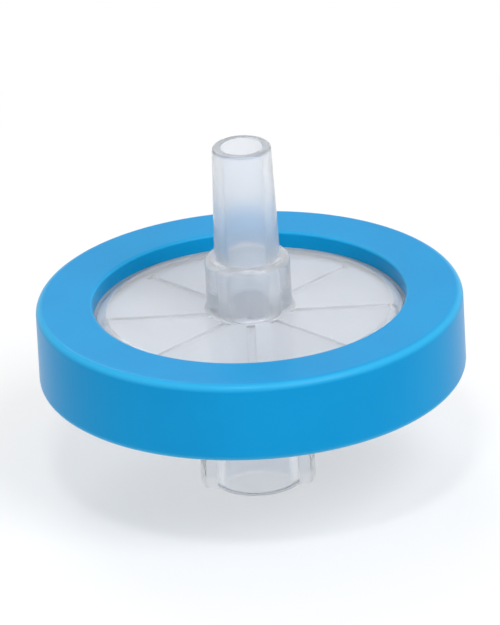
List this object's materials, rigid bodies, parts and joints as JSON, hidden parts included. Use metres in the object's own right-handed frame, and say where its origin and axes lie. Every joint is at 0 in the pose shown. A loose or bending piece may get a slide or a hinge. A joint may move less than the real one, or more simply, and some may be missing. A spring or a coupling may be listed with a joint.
{
  "type": "syringe filter",
  "caption": "Disc membrane filter with a tapered locking socket at its inlet, a tapered slip spigot at its outlet and a blue sealing ring moulded round both clear housing halves.",
  "frame": {"origin": "centre of the inlet end face, which the filter stands on", "axes": "+Z along the filter's axis from inlet to outlet, +X through the two locking lugs"},
  "size_m": [0.029, 0.029, 0.0247],
  "materials": {
    "clear_housing": "natural translucent polypropylene, smooth moulded",
    "membrane": "matt white microporous film",
    "blue_ring": "bright blue moulded polypropylene, soft gloss"
  },
  "bodies": {
    "root": {"inlet_housing": "clear_housing", "outlet_housing": "clear_housing", "membrane": "membrane", "sealing_ring": "blue_ring"}
  },
  "joints": []
}
